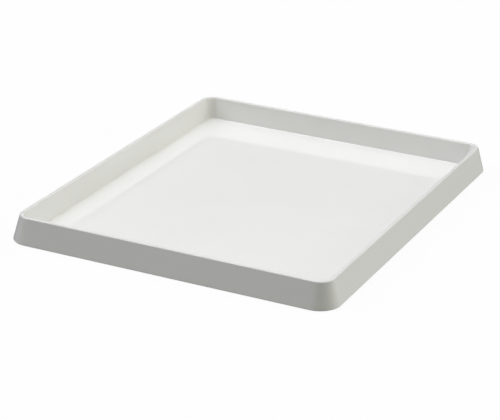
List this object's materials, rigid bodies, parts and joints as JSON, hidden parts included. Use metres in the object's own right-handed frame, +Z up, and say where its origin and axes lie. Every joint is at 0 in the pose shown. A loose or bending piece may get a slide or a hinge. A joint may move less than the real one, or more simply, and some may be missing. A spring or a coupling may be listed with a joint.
{
  "type": "flat tray",
  "caption": "Shallow rectangular flat-bottomed tray with a thin rim, a flared skirt and soft round feet under its corners.",
  "frame": {"origin": "on the surface that the tray stands on, under the middle of its bounding box", "axes": "+X along the tray's width, +Y along its length, +Z up out of the tray"},
  "size_m": [0.2996, 0.3676, 0.0234],
  "materials": {
    "shell_plastic": "off-white, satin to semi-gloss moulded plastic",
    "foot_rubber": "matt soft grey"
  },
  "bodies": {
    "root": {"tray_shell": "shell_plastic", "foot_front_left": "foot_rubber", "foot_front_right": "foot_rubber", "foot_back_left": "foot_rubber", "foot_back_right": "foot_rubber"}
  },
  "joints": []
}
